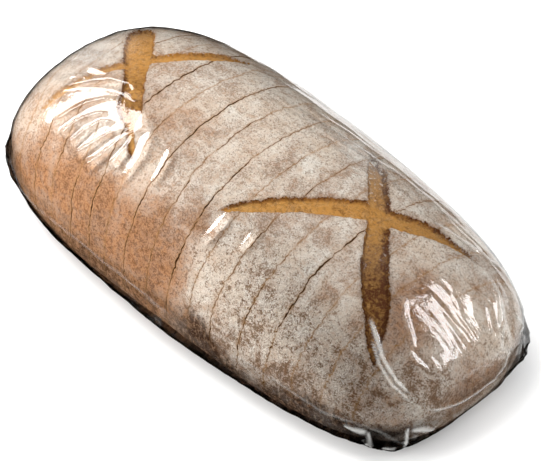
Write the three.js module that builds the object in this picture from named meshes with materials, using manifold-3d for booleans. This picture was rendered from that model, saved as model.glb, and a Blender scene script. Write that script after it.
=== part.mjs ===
// A long floured loaf, sliced right through and closed in a tight clear film bag.
// The model is one closed body: the outer form of the film, which lies on the crust down to the loaf's widest
// line, drops from there to the surface it stands on, and turns under. The two crossed scores and the slice cuts
// show in it as grooves. Millimetres, +Z up, origin on the resting plane under the middle of the loaf,
// +X along the loaf.
import * as THREE from "three";
import { mergeVertices } from "three/addons/utils/BufferGeometryUtils.js";
import Module from "manifold-3d";

// The bag's overall form
const HALF_LENGTH = 133;
const HALF_WIDTH = 65;
const MIDDLE_HEIGHT = 82;
const WIDEST_HEIGHT = 25; // the line where the film leaves the crust
const HEIGHT_FALL = 0.08; // share of the height lost from the middle to the near end, and gained to the far one
const WIDTH_FALL = 0.02; // the same for the width
const SECTION_POWER = 2.13; // superellipse power of the domed upper section
const PLAN_POWER = { far: 3.1, near: 3.5 }; // how square the two ends are, seen from above
const PROFILE_POWER = { far: 2.2, near: 2.04 }; // how square they are, seen from the side

// The film below the widest line
const SKIRT_POWER = 3.4; // superellipse power of the section below the widest line
const END_DROP_POWER = 5; // how late the skirt shortens towards the two ends
const FLAT_CUT = 1.5; // how much of the rounded underside is flattened on the surface it stands on

// Corners where the film is bunched: place on the plan, how far they stand out, how wide and how high they are
const BUNCHES = [
  { x: 122, y: 45, reach: 3, spread: 17, height: 12 },
  { x: 120, y: -47, reach: 4, spread: 18, height: 10 },
  { x: -122, y: -45, reach: 3.5, spread: 17, height: 14 },
  { x: -121, y: 46, reach: 3, spread: 17, height: 13 },
];

// The slices
const SLICE_THICKNESS = 15;
const FIRST_CUT = -116.5;
const CUTS = 16;
const CUT_GROOVE = { halfWidth: 0.9, depth: 0.8 };
const GROOVE_RUNOUT = 0.25; // share of the dome's height over which a cut's groove runs out at its foot

// The scores: each arm runs through three places on the plan, with its widest opening and its depth
const SCORES = [
  { from: [10, -36], through: [62, 13], to: [101, 38], width: 11, depth: 3 },
  { from: [24, 43], through: [62, 13], to: [106, -36], width: 12.5, depth: 3.2 },
  { from: [-111, 27], through: [-83, 4], to: [-50, -36], width: 12.5, depth: 3.2 },
  { from: [-105, -31], through: [-83, 4], to: [-52, 33], width: 10, depth: 2.8 },
];
const SCORE_STEPS = 22;
const SCORE_SIDES = 10;
const SCORE_TIP = 0.14; // the opening left at an arm's tips, as a share of its width
const SCORE_TAPER = 0.6; // how soon an arm comes to its full width: less is sooner

// How finely the form is divided
const CROWN_STEPS = 16; // from the crown to the widest line, on each side
const SKIRT_STEPS = 7; // from there to the middle of the underside
const HEEL_STEPS = { far: 6, near: 8 };

// How far the widest line stands from the long axis at station x.
function halfWidthAt(x) {
  const power = x < 0 ? PLAN_POWER.far : PLAN_POWER.near;
  const along = Math.min(1, Math.abs(x) / HALF_LENGTH);
  const full = HALF_WIDTH * (1 - (WIDTH_FALL * x) / HALF_LENGTH);
  return full * (1 - along ** power) ** (1 / power);
}

// How far the crown stands above the widest line at station x.
function riseAt(x) {
  const power = x < 0 ? PROFILE_POWER.far : PROFILE_POWER.near;
  const along = Math.min(1, Math.abs(x) / HALF_LENGTH);
  const full = MIDDLE_HEIGHT * (1 - (HEIGHT_FALL * x) / HALF_LENGTH) - WIDEST_HEIGHT;
  return full * (1 - along ** power) ** (1 / power);
}

// How far the underside lies below the widest line at station x, before it is flattened.
function dropAt(x) {
  const along = Math.min(1, Math.abs(x) / HALF_LENGTH);
  return (WIDEST_HEIGHT + FLAT_CUT) * (1 - along ** END_DROP_POWER) ** (1 / END_DROP_POWER);
}

// The height of the upper surface over a place on the plan.
function topAt(x, y) {
  const across = Math.min(1, Math.abs(y) / halfWidthAt(x));
  return WIDEST_HEIGHT + riseAt(x) * (1 - across ** SECTION_POWER) ** (1 / SECTION_POWER);
}

// One side of the section at station x, from the crown down. A groove draws its upper part in.
function halfSection(x, groove) {
  const w = halfWidthAt(x);
  const h = riseAt(x);
  const points = [];
  for (let i = 0; i <= CROWN_STEPS; i++) {
    const angle = ((i / CROWN_STEPS) * Math.PI) / 2;
    const out = Math.sin(angle) ** (2 / SECTION_POWER);
    const up = Math.max(0, Math.cos(angle)) ** (2 / SECTION_POWER);
    const drawn = groove * Math.min(1, up / GROOVE_RUNOUT);
    points.push(new THREE.Vector2((w - drawn) * out, WIDEST_HEIGHT + (h - drawn) * up));
  }
  const drop = dropAt(x);
  for (let i = 1; i <= SKIRT_STEPS; i++) {
    const angle = ((i / SKIRT_STEPS) * Math.PI) / 2;
    const out = Math.max(0, Math.cos(angle)) ** (2 / SKIRT_POWER);
    const down = Math.sin(angle) ** (2 / SKIRT_POWER);
    points.push(new THREE.Vector2(w * out, Math.max(0, WIDEST_HEIGHT - drop * down)));
  }
  return points;
}

// Stations along the loaf: three at each cut, one in the middle of each slice, and closer ones over the heels.
function stations() {
  const cuts = Array.from({ length: CUTS }, (_, i) => FIRST_CUT + i * SLICE_THICKNESS);
  const { halfWidth, depth } = CUT_GROOVE;
  const made = [];
  const heel = (edge, steps, end) => {
    const start = Math.asin(edge / HALF_LENGTH);
    const finish = (end * Math.PI) / 2;
    for (let i = 1; i < steps; i++) {
      const share = i / steps;
      made.push([HALF_LENGTH * Math.sin(start + (finish - start) * share), 0]);
    }
  };
  heel(cuts[0] - halfWidth, HEEL_STEPS.far, -1);
  heel(cuts[CUTS - 1] + halfWidth, HEEL_STEPS.near, 1);
  cuts.forEach((x, i) => {
    made.push([x - halfWidth, 0], [x, depth], [x + halfWidth, 0]);
    if (i < CUTS - 1) made.push([x + SLICE_THICKNESS / 2, 0]);
  });
  return made.sort((a, b) => a[0] - b[0]);
}

// Draws a place on the lower film out to the nearest bunched corners.
function bunchedOut(point) {
  for (const { x, y, reach, spread, height } of BUNCHES) {
    const away = Math.hypot(point.x - x, point.y - y) / spread;
    const level = (point.z - height) / height;
    const share = Math.exp(-away * away) * Math.max(0, 1 - level * level);
    const out = new THREE.Vector2(x, y).normalize().multiplyScalar(reach * share);
    point.x += out.x;
    point.y += out.y;
  }
  return point;
}

// The bag's outer form: a sphere with its poles on the long axis, whose rings become the loaf's sections.
function bagGeometry() {
  const rings = stations();
  const side = CROWN_STEPS + SKIRT_STEPS;
  const around = 2 * side;
  const geometry = new THREE.SphereGeometry(1, around, rings.length + 1);
  const position = geometry.getAttribute("position");
  const place = (row, column, point) => {
    position.setXYZ(row * (around + 1) + column, point.x, point.y, point.z);
  };
  for (let column = 0; column <= around; column++) {
    place(0, column, new THREE.Vector3(-HALF_LENGTH, 0, WIDEST_HEIGHT));
    place(rings.length + 1, column, new THREE.Vector3(HALF_LENGTH, 0, WIDEST_HEIGHT));
  }
  rings.forEach(([x, groove], row) => {
    const half = halfSection(x, groove);
    for (let column = 0; column <= around; column++) {
      const step = column <= side ? column : around - column;
      const hand = column <= side ? 1 : -1;
      const point = new THREE.Vector3(x, hand * half[step].x, half[step].y);
      place(row + 1, column, bunchedOut(point));
    }
  });
  return geometry;
}

// A score arm's cutter: an oval section swept over the crust, opening from its tips to its middle.
function scoreGeometry({ from, through, to, width, depth }) {
  const bend = (i) => 2 * through[i] - (from[i] + to[i]) / 2;
  const plan = new THREE.QuadraticBezierCurve(
    new THREE.Vector2(...from),
    new THREE.Vector2(bend(0), bend(1)),
    new THREE.Vector2(...to),
  );
  const geometry = new THREE.SphereGeometry(1, SCORE_SIDES, SCORE_STEPS);
  const position = geometry.getAttribute("position");
  for (let row = 0; row <= SCORE_STEPS; row++) {
    const share = row / SCORE_STEPS;
    const at = plan.getPoint(share);
    const across = plan.getTangent(share).rotateAround(new THREE.Vector2(), Math.PI / 2);
    const end = row === 0 || row === SCORE_STEPS;
    const open = end ? 0 : SCORE_TIP + (1 - SCORE_TIP) * Math.sin(Math.PI * share) ** SCORE_TAPER;
    for (let column = 0; column <= SCORE_SIDES; column++) {
      const turn = (2 * Math.PI * column) / SCORE_SIDES;
      const out = (width / 2) * open * Math.sin(turn);
      const x = at.x + across.x * out;
      const y = at.y + across.y * out;
      const lift = depth * Math.sqrt(open) * Math.cos(turn);
      position.setXYZ(row * (SCORE_SIDES + 1) + column, x, y, topAt(x, y) + lift);
    }
  }
  return geometry;
}

const wasm = await Module();
wasm.setup();

// A closed geometry as a solid that can be cut, its faces turned outwards.
function solid(geometry) {
  const bare = new THREE.BufferGeometry().setAttribute("position", geometry.getAttribute("position"));
  const merged = mergeVertices(bare.setIndex(geometry.index), 1e-4);
  const triVerts = new Uint32Array(merged.index.array);
  const vertProperties = merged.getAttribute("position").array;
  const made = new wasm.Manifold(new wasm.Mesh({ numProp: 3, vertProperties, triVerts }));
  if (made.volume() > 0) return made;
  for (let i = 0; i < triVerts.length; i += 3)
    [triVerts[i + 1], triVerts[i + 2]] = [triVerts[i + 2], triVerts[i + 1]];
  return new wasm.Manifold(new wasm.Mesh({ numProp: 3, vertProperties, triVerts }));
}

// A solid as a geometry that can be shown.
function shown(body) {
  const { vertProperties, triVerts, numProp } = body.getMesh();
  const geometry = new THREE.BufferGeometry();
  geometry.setAttribute("position", new THREE.Float32BufferAttribute(vertProperties, numProp));
  geometry.setIndex(new THREE.Uint32BufferAttribute(triVerts, 1));
  geometry.computeVertexNormals();
  return geometry;
}

const scores = SCORES.map((arm) => solid(scoreGeometry(arm)));
const scored = scores.reduce((body, arm) => body.subtract(arm), solid(bagGeometry()));

const film = new THREE.MeshStandardMaterial({ color: 0xc3a88c, roughness: 0.3, metalness: 0 });
const bag = new THREE.Mesh(shown(scored), film);
bag.name = "bagged_loaf";

const loafInBag = new THREE.Group();
loafInBag.add(bag);

export default loafInBag;
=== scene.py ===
"""A long floured country loaf, sliced right through and sealed in a tight clear film bag.

The loaf is made as its slices, each with crust, relief, scores and crumb faces. The bag is one closed
skin of film, creased where it is drawn over the loaf, with its seam and its folded ends under the loaf.
Sizes are in metres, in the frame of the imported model: +X along the loaf, +Z up.
"""
import logging
import math
from collections.abc import Callable
from dataclasses import dataclass, field
from enum import Enum

import bmesh
import bpy
import numpy as np
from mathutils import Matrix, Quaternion, Vector


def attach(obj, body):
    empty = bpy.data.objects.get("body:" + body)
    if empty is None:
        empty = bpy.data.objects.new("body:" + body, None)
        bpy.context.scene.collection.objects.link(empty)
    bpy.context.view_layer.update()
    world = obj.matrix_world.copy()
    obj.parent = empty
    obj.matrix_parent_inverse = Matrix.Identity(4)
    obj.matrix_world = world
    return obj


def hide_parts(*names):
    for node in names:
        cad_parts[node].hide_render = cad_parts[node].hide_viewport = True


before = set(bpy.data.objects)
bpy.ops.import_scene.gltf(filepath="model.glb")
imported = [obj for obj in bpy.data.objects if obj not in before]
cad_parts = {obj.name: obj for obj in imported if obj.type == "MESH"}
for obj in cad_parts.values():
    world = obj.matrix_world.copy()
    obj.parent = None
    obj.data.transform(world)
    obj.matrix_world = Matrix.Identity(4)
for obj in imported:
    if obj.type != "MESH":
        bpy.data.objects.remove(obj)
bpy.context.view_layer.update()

log = logging.getLogger("bagged_loaf")

MM = 0.001
UNIT = 0.88 * MM  # of the crust's map, on which the loaf is about 300 units long
IMAGE_WIDTH = 541
CAD_NODE = "bagged_loaf"
BODY = "root"

WELD = 0.002 * MM  # points closer than this are joined

Array = np.ndarray
Colour = tuple[float, float, float]


def smooth_step(value: Array, low: float, high: float) -> Array:
    """Eases from 0 at low to 1 at high.

    Args:
        value: Any numbers.
        low: Where the result is 0.
        high: Where the result is 1. It may be below low.

    Returns:
        The eased numbers, from 0 to 1.
    """
    share = np.clip((value - low) / (high - low), 0.0, 1.0)
    return share * share * (3.0 - 2.0 * share)


def row_turns(rows: Array, share: float, reach: float) -> Array:
    """Angles about the long axis for a wrapped grid's rows, closer together on the upper side.

    Args:
        rows: Shares of the way round, from 0 to 1.
        share: The share of the rows that the upper side takes.
        reach: How far down each flank the upper side goes, as a share of half a turn.

    Returns:
        Angles from half a turn back to half a turn on, 0 at the crown.
    """
    away = np.abs(rows * 2.0 - 1.0)
    lower = reach + (away - share) / (1 - share) * (1 - reach)
    return np.sign(rows * 2.0 - 1.0) * np.where(away <= share, away / share * reach, lower) * math.pi


class Grain:
    """Smooth noise over points in space, the same on each run."""

    def __init__(self, seed: int) -> None:
        """Draws the lattice's slopes from a seed.

        Args:
            seed: The number that the slopes follow from.
        """
        rng = np.random.default_rng(seed)
        self.order = rng.permutation(256)
        slopes = rng.normal(size=(256, 3))
        self.slopes = slopes / np.linalg.norm(slopes, axis=1, keepdims=True)

    def _single(self, points: Array) -> Array:
        """One octave of gradient noise, about -1 to 1.

        Args:
            points: N by 3 places, in cells.

        Returns:
            N numbers.
        """
        cell = np.floor(points).astype(np.int64)
        part = points - cell
        ease = part * part * part * (part * (part * 6.0 - 15.0) + 10.0)
        total = np.zeros(len(points))
        for corner in range(8):
            step = np.array([corner & 1, corner >> 1 & 1, corner >> 2 & 1])
            at = (cell + step) & 255
            hashed = self.order[(self.order[(self.order[at[:, 0]] + at[:, 1]) & 255] + at[:, 2]) & 255]
            weight = np.prod(np.where(step, ease, 1.0 - ease), axis=1)
            total += weight * np.einsum("ij,ij->i", self.slopes[hashed], part - step)
        return total * 1.6

    def at(self, points: Array, size: float, octaves: int = 1, ridged: bool = False) -> Array:
        """Noise at some points.

        Args:
            points: N by 3 places.
            size: The distance between neighbouring bumps, in the points' unit.
            octaves: How many finer layers are added, each half as strong.
            ridged: True for sharp crests with round hollows between them.

        Returns:
            N numbers, about -1 to 1, or 0 to 1 where ridged.
        """
        total = np.zeros(len(points))
        strength, reach = 1.0, 0.0
        for octave in range(octaves):
            layer = self._single(points * (2.0**octave / size) + 17.3 * octave)
            total += strength * (1.0 - np.minimum(1.0, np.abs(layer) * 1.8) if ridged else layer)
            reach += strength
            strength *= 0.5
        return total / reach


@dataclass(frozen=True)
class LoafForm:
    """The rounded form that crust and film share: superellipse sections swept along the loaf."""

    half_length: float = 133.0 * MM
    half_width: float = 65.0 * MM
    middle_height: float = 82.0 * MM
    widest_height: float = 25.0 * MM
    foot: float = 0.0
    flat_cut: float = 1.5 * MM
    height_fall: float = 0.08
    width_fall: float = 0.02
    section_power: float = 2.13
    lower_power: float = 3.4
    end_drop_power: float = 5.0
    plan_power: tuple[float, float] = (3.1, 3.5)
    profile_power: tuple[float, float] = (2.2, 2.04)

    def drawn_in(self, inset: float, lower_power: float, foot: float) -> "LoafForm":
        """The same form, smaller all round by inset, with another lower section and foot height.

        Args:
            inset: How much smaller it is.
            lower_power: The lower section's power.
            foot: How high it starts.

        Returns:
            The smaller form.
        """
        return LoafForm(
            half_length=self.half_length - inset,
            half_width=self.half_width - inset,
            middle_height=self.middle_height - inset,
            foot=foot,
            lower_power=lower_power,
        )

    def _fade(self, x: Array, powers: tuple[float, float]) -> Array:
        """How far the form has closed towards its ends, from 1 in the middle to 0 at a pole.

        Args:
            x: Stations along the loaf.
            powers: How square the far and the near end are.

        Returns:
            Shares.
        """
        power = np.where(x < 0, powers[0], powers[1])
        along = np.minimum(1.0, np.abs(x) / self.half_length)
        return (1.0 - along**power) ** (1.0 / power)

    def half_width_at(self, x: Array) -> Array:
        """How far the widest line stands from the long axis at x."""
        full = self.half_width * (1.0 - self.width_fall * x / self.half_length)
        return full * self._fade(x, self.plan_power)

    def rise_at(self, x: Array) -> Array:
        """How far the crown stands above the widest line at x."""
        full = self.middle_height * (1.0 - self.height_fall * x / self.half_length) - self.widest_height
        return full * self._fade(x, self.profile_power)

    def drop_at(self, x: Array) -> Array:
        """How far the underside lies below the widest line at x, before it is flattened."""
        ends = (self.end_drop_power, self.end_drop_power)
        return (self.widest_height - self.foot + self.flat_cut) * self._fade(x, ends)

    def station(self, share: Array) -> Array:
        """Stations for shares of the way along the plan's outline, from the far pole to the near one.

        Args:
            share: Shares from 0 to 1.

        Returns:
            Stations.
        """
        angles = np.linspace(-math.pi / 2.0, math.pi / 2.0, 2001)
        x = self.half_length * np.sin(angles)
        lengths = np.r_[0.0, np.cumsum(np.hypot(np.diff(x), np.diff(self.half_width_at(x))))]
        return np.interp(share, lengths / lengths[-1], x)

    def share_of(self, x: Array) -> Array:
        """The opposite: how much of the plan's outline lies before stations."""
        shares = np.linspace(0.0, 1.0, 4001)
        return np.interp(x, self.station(shares), shares)

    def place(self, x: Array, turn: Array) -> Array:
        """Places on the form.

        Args:
            x: Stations along the loaf.
            turn: Angles about the long axis, 0 at the crown, negative towards -Y.

        Returns:
            N by 3 places.
        """
        side, up = np.sin(turn), np.cos(turn)
        upper = up > 0
        power = np.where(upper, self.section_power, self.lower_power)
        out = np.sign(side) * np.abs(side) ** (2.0 / power)
        rise = np.abs(up) ** (2.0 / power)
        z_up = self.widest_height + self.rise_at(x) * rise
        z_down = np.maximum(self.foot, self.widest_height - self.drop_at(x) * rise)
        return np.stack([x, self.half_width_at(x) * out, np.where(upper, z_up, z_down)], axis=1)


@dataclass(frozen=True)
class Score:
    """One arm of a crossed score, through stations on the plan: x, y and opening, in millimetres."""

    stations: tuple[tuple[float, float, float], ...]
    depth: float = 3.0 * MM
    tones: tuple[float, ...] = (0.0, 0.0)
    veils: tuple[float, ...] = (0.0, 0.0)
    # shaded_side and shade_from: the wall of the groove that gets painted shade in its tone, and from how far
    # across the groove it starts
    shaded_side: float = 1.0
    shade_from: float = 0.75

    def line(self, steps: int = 90) -> tuple[Array, Array, Array]:
        """The arm's middle line on the plan, the unit directions across it and its half openings.

        Args:
            steps: How many places the line has.

        Returns:
            The places, directions and half openings.
        """
        table = np.array(self.stations) * MM
        lengths = np.r_[0.0, np.cumsum(np.linalg.norm(np.diff(table[:, :2], axis=0), axis=1))]
        share = np.linspace(0.0, lengths[-1], steps)
        drawn = np.stack([np.interp(share, lengths, table[:, i]) for i in range(3)], axis=1)
        for _ in range(6):
            drawn[1:-1] = (drawn[:-2] + 2.0 * drawn[1:-1] + drawn[2:]) / 4.0
        along = np.gradient(drawn[:, :2], axis=0)
        along /= np.linalg.norm(along, axis=1, keepdims=True)
        return drawn[:, :2], np.stack([-along[:, 1], along[:, 0]], axis=1), drawn[:, 2] / 2.0

    def measure(self, x: Array, y: Array) -> tuple[Array, Array, Array]:
        """Measures places on the plan against the arm.

        Args:
            x: Places along the loaf.
            y: Places across it.

        Returns:
            The share of the way along the arm, the signed distance from its middle line in half
            openings, and the half opening there.
        """
        points, across, halves = self.line()
        near = np.full(len(x), 1e9)
        index = np.zeros(len(x), dtype=np.int64)
        for i, point in enumerate(points):
            away = (x - point[0]) ** 2 + (y - point[1]) ** 2
            index = np.where(away < near, i, index)
            near = np.minimum(near, away)
        half = np.maximum(halves[index], 0.1 * MM)
        offset = np.stack([x - points[index, 0], y - points[index, 1]], axis=1)
        side = np.sign(np.einsum("ij,ij->i", offset, across[index]))
        return index / (len(points) - 1), side * np.sqrt(near) / half, half


@dataclass(frozen=True)
class Patch:
    """A soft oval place on the crust's map, which adds an amount to what it belongs to."""

    x: float
    s: float
    reach_x: float
    reach_s: float
    amount: float

    def at(self, x: Array, s: Array) -> Array:
        """The amount that the patch adds at places on the map, in map units."""
        away = ((x - self.x) / self.reach_x) ** 2 + ((s - self.s) / self.reach_s) ** 2
        return self.amount * np.exp(-away)


def patches(*rows: tuple[float, ...]) -> tuple[Patch, ...]:
    """Patches from rows of x, s, reach along x, reach along s and amount."""
    return tuple(Patch(*row) for row in rows)


def on_map(form: LoafForm, x: Array, turn: Array) -> tuple[Array, Array]:
    """Places on the crust's map: along the loaf, and round it from the crown, negative towards -Y.

    Args:
        form: The form that is measured.
        x: Stations along the loaf.
        turn: Angles about the long axis.

    Returns:
        x and the arc length from the crown, both in map units.
    """
    turns = np.linspace(0.0, math.pi, 181)
    stations = np.linspace(-form.half_length, form.half_length, 121)
    arcs = np.zeros((len(stations), len(turns)))
    for i, station in enumerate(stations):
        ring = form.place(np.full(len(turns), station), turns)
        steps = np.linalg.norm(np.diff(ring, axis=0), axis=1)
        arcs[i, 1:] = np.cumsum(steps)
    row = (x + form.half_length) / (2.0 * form.half_length) * (len(stations) - 1)
    column = np.abs(turn) / math.pi * (len(turns) - 1)
    low_row = np.clip(np.floor(row).astype(np.int64), 0, len(stations) - 2)
    low_column = np.clip(np.floor(column).astype(np.int64), 0, len(turns) - 2)
    part_row, part_column = row - low_row, column - low_column
    upper = arcs[low_row, low_column] * (1 - part_column) + arcs[low_row, low_column + 1] * part_column
    lower = arcs[low_row + 1, low_column] * (1 - part_column)
    lower = lower + arcs[low_row + 1, low_column + 1] * part_column
    arc = upper * (1 - part_row) + lower * part_row
    return x / UNIT, np.sign(turn) * arc / UNIT


def normals_of(points: Array, columns: int, rows: int) -> Array:
    """Unit normals of a wrapped grid, whose last row meets its first.

    Args:
        points: The grid's points, row by row.
        columns: Faces along a row.
        rows: Rows of faces.

    Returns:
        Unit normals that point out of the loaf.
    """
    net = points.reshape(rows + 1, columns + 1, 3)
    along = np.gradient(net, axis=1)
    ring = net[:-1]
    around = (np.roll(ring, -1, axis=0) - np.roll(ring, 1, axis=0)) / 2.0
    around = np.concatenate([around, around[:1]], axis=0)
    cross = np.cross(along, around)
    size = np.linalg.norm(cross, axis=2, keepdims=True)
    cross = cross / np.maximum(size, 1e-12)
    middle = np.array([0.0, 0.0, 0.03])
    outward = np.einsum("ijk,ijk->ij", cross, net - middle).sum()
    return (cross if outward > 0 else -cross).reshape(-1, 3)


@dataclass(frozen=True)
class Pleats:
    """A field of long flat pleats in the film, side by side, on the crust's map."""

    centre: Patch
    spacing: float
    length: float
    slope: float
    angle: float = 0.0
    seed: float = 0.0

    def at(self, x: Array, s: Array, wander: Array, grain: Grain) -> Array:
        """The pleats' height at places on the map.

        Args:
            x: Places along the loaf, in map units.
            s: Places round it.
            wander: Noise that makes the pleats run unevenly.
            grain: The noise that sets how high each pleat stands.

        Returns:
            Heights in metres.
        """
        cosine, sine = math.cos(self.angle), math.sin(self.angle)
        across = (s * cosine - x * sine) / self.spacing + wander
        along = (x * cosine + s * sine) / self.length
        low = np.floor(across)
        part = across - low
        height = np.zeros(len(x))
        for step, share in ((0.0, 1.0 - part), (1.0, part)):
            spots = np.stack([(low + step) * 5.17, along, np.full(len(x), self.seed + 0.37)], axis=1)
            height += share * grain.at(spots, 1.0)
        return self.centre.at(x, s) * self.slope * self.spacing * UNIT * height


@dataclass(frozen=True)
class Ridge:
    """A narrow standing ridge of film, through places on the crust's map or in space, in millimetres."""

    route: tuple[tuple[float, ...], ...]
    widths: tuple[float, ...]
    slope: float
    # cloud: how much the ridge whitens the film, partly milky crease and partly painted glint
    cloud_sheen: float = 0.0

    def at(self, flat: Array, solid: Array) -> tuple[Array, Array]:
        """The ridge's height in metres, and how much of it is there.

        Args:
            flat: N by 2 places on the map.
            solid: The same places in space, N by 3, in millimetres.

        Returns:
            N heights, and N shares from 0 to 1.
        """
        route = np.array(self.route, dtype=float)
        places = flat if route.shape[1] == 2 else solid
        lengths = np.r_[0.0, np.cumsum(np.linalg.norm(np.diff(route, axis=0), axis=1))]
        near = np.full(len(places), 1e9)
        share = np.zeros(len(places))
        for i in range(len(route) - 1):
            step = route[i + 1] - route[i]
            part = np.clip((places - route[i]) @ step / (step @ step), 0.0, 1.0)
            away = np.linalg.norm(places - route[i] - part[:, None] * step, axis=1)
            along = (lengths[i] + part * (lengths[i + 1] - lengths[i])) / lengths[-1]
            share = np.where(away < near, along, share)
            near = np.minimum(near, away)
        width = np.interp(share, np.linspace(0.0, 1.0, len(self.widths)), self.widths)
        ends = smooth_step(share, 0.0, 0.12) * smooth_step(share, 1.0, 0.86)
        stands = np.maximum(0.0, 1.0 - near / width)
        return self.slope * width * UNIT * stands * ends, stands * ends


@dataclass(frozen=True)
class Bunch:
    """A corner of the bag where the film is gathered, in millimetres."""

    x: float
    y: float
    reach: float
    spread: float
    height: float
    # crumple also sets how much painted shade and how many painted glints the gathered corner gets
    crumple: float = 1.0


@dataclass(frozen=True)
class FilmShape:
    """The film's skin: the loaf's form, pleated, ridged and gathered."""

    form: LoafForm
    closer_ends: float = 0.3
    crumples: tuple[float, float, float] = (0.2 * MM, 0.6 * MM, 2.6 * MM)  # at ends, where loose, in bunches
    wave: float = 0.2 * MM
    lowest: float = 0.3 * MM
    upper_side: tuple[float, float] = (0.84, 0.64)
    bunches: tuple[Bunch, ...] = (
        Bunch(122, 45, 3, 17, 12),
        Bunch(120, -47, 4, 18, 10),
        Bunch(-122, -45, 2.5, 17, 14, 0.75),
        Bunch(-121, 46, 3, 17, 13, 0.3),
        Bunch(4, -66, 2.2, 40, 12, 0.1),
    )
    pleats: tuple[Pleats, ...] = (
        Pleats(Patch(130, 8, 18, 11, 1.0), 2.0, 16, 0.42, 0.05, 1.0),
        Pleats(Patch(20, 40, 60, 16, 1.0), 2.8, 40, 0.32, 0.16, 2.0),
        Pleats(Patch(95, 48, 34, 14, 1.0), 2.8, 36, 0.35, 0.1, 3.0),
        Pleats(Patch(136, 32, 20, 15, 1.0), 3.2, 26, 0.5, -0.5, 4.0),
        Pleats(Patch(-120, 0, 22, 40, 1.0), 4.0, 26, 0.3, -0.2, 5.0),
        Pleats(Patch(0, -70, 150, 40, 1.0), 9.0, 60, 0.07, 0.1, 6.0),
        Pleats(Patch(-30, 74, 90, 18, 1.0), 4.5, 34, 0.34, -0.12, 7.0),
    )
    # hazes: painted sheen, as patches of whitened film
    haze_sheens: tuple[Patch, ...] = patches(
        (-121, -4, 16, 18, 0.24), (34, 37, 16, 8, 0.16), (120, 44, 16, 8, 0.06)
    )
    ridges: tuple[Ridge, ...] = (
        Ridge(((-78, -26), (-85, -29), (-92, -35.5), (-96.5, -43), (-102, -53)), (0.8, 2.4, 3.4), 0.75),
        Ridge(((-75, -34), (-82, -38), (-88, -46), (-92, -58)), (0.8, 2.4, 4.5), 0.75),
        Ridge(((-69, -37), (-76, -40), (-80, -48), (-84, -61)), (0.8, 2.0, 4.0), 0.9),
        Ridge(((-61, -38), (-66, -42), (-71, -52), (-77, -64)), (0.8, 2.0, 4.0), 0.9),
        Ridge(((-58, -39), (-60, -49), (-63, -58), (-68, -66)), (0.8, 3.0, 5.0), 0.75),
        Ridge(((-54, -39), (-52, -46), (-53, -58)), (0.8, 2.8, 3.6), 0.8),
        Ridge(
            ((-49, -29), (-44.5, -38), (-42, -46), (-42, -55), (-44, -66)),
            (2.0, 4.4, 4.4, 3.4, 1.0), 0.36,
        ),
        Ridge(((-33, -31), (-29, -38), (-27, -46), (-27, -57)), (0.8, 3.6, 3.4, 1.0), 0.34),
        Ridge(
            ((-116, -32), (-107, -27), (-98, -22), (-89, -18), (-78, -16), (-66, -19)),
            (2.0, 3.4, 5.0, 5.0, 4.0), 0.7,
        ),
        Ridge(((-63, -23), (-57, -28), (-50, -34)), (5.0, 6.5, 5.0), 0.24),
        Ridge(
            ((106, -29.5), (115, -33.5), (123, -37.5), (134, -38.5), (142, -36)),
            (1.1, 1.6, 1.1, 0.9), 0.55, 0.6,
        ),
        Ridge(((114, -36), (123, -40.5), (133, -42), (143, -38)), (0.9, 0.9), 0.5, 0.5),
        Ridge(((109, -8), (116, -15), (125, -19), (131, -23)), (1.3, 1.6, 1.3), 0.5, 0.1),
        Ridge(((127, -24), (134, -25), (140, -21)), (0.8, 2.6, 0.8), 0.3),
        Ridge(((136, -17), (140, -17), (145, -16)), (0.6, 2.0, 0.6), 0.25),
        Ridge(((85, 38), (100, 46), (112, 52), (120, 60)), (1.4, 1.4), 0.5, 0.4),
        Ridge(((-130, -75), (-115, -97), (-95, -103), (-40, -108), (15, -110)), (1.0, 1.0), 0.4, 0.2),
        Ridge(((40, -104), (70, -95), (110, -85), (148, -60)), (1.0, 1.0), 0.4, 0.14),
        Ridge(((18, -38), (18, -50), (15, -64)), (0.8, 4.0, 3.6, 0.8), 0.43),
        Ridge(((36, -35), (36, -45), (35, -54)), (0.8, 3.6, 0.8), 0.5),
        Ridge(((-120, -25), (-114, -21), (-106, -22)), (2.2, 2.2), 0.3),
        Ridge(((-112, -16), (-104, -15), (-94, -14)), (2.2, 2.2), 0.3),
        Ridge(((120, 42), (128, 40), (139, 32), (144, 25)), (1.2, 1.2), 0.5, 0.2),
        Ridge(((132, 29), (138, 25), (143, 21)), (1.1, 1.1), 0.5, 0.1),
        Ridge(((120, 15), (130, 12), (134, 13), (144, 14)), (1.1, 1.1), 0.5, 0.1),
        Ridge(((104, 36, 50.5), (116, 32.7, 44.5), (126.5, 25, 37.6), (132, 16.7, 29)), (1.0, 1.0), 0.5, 0.3),
        Ridge(
            ((129, -29, 31), (131.8, -22, 27), (132.9, -10, 22.4), (133, 3.7, 19.8), (132.8, 14, 19.5),
             (132.4, 19.7, 22.6), (131.5, 23, 28), (125.2, 36.8, 32.2)),
            (1.0, 1.0), 0.5, 0.55,
        ),
        Ridge(((122.7, 36.4, 36.4), (125.1, 38.5, 30), (124.8, 40.1, 19.2)), (1.0, 1.0), 0.6, 0.6),
        Ridge(((128.1, 33.2, 30), (125.1, 38.5, 30), (121, 43, 24)), (1.0, 1.0), 0.6, 0.6),
        Ridge(((106, -53.8, 21.6), (111.2, -51.3, 20.5), (115.6, -48.6, 19.6)), (1.0, 1.7, 1.2), 0.5, 0.6),
        Ridge(((115.6, -48.6, 20), (114.9, -47.1, 12)), (0.9, 0.9), 0.5, 0.7),
        Ridge(((127.8, -35.6, 23), (127.1, -36.4, 17.7), (125.2, -37, 11)), (1.1, 0.9), 0.5, 0.7),
        Ridge(((128.2, -34.7, 21), (130.3, -29.6, 19.4), (131.6, -22.3, 15)), (1.2, 2.2, 1.2), 0.5, 0.6),
    )

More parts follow.
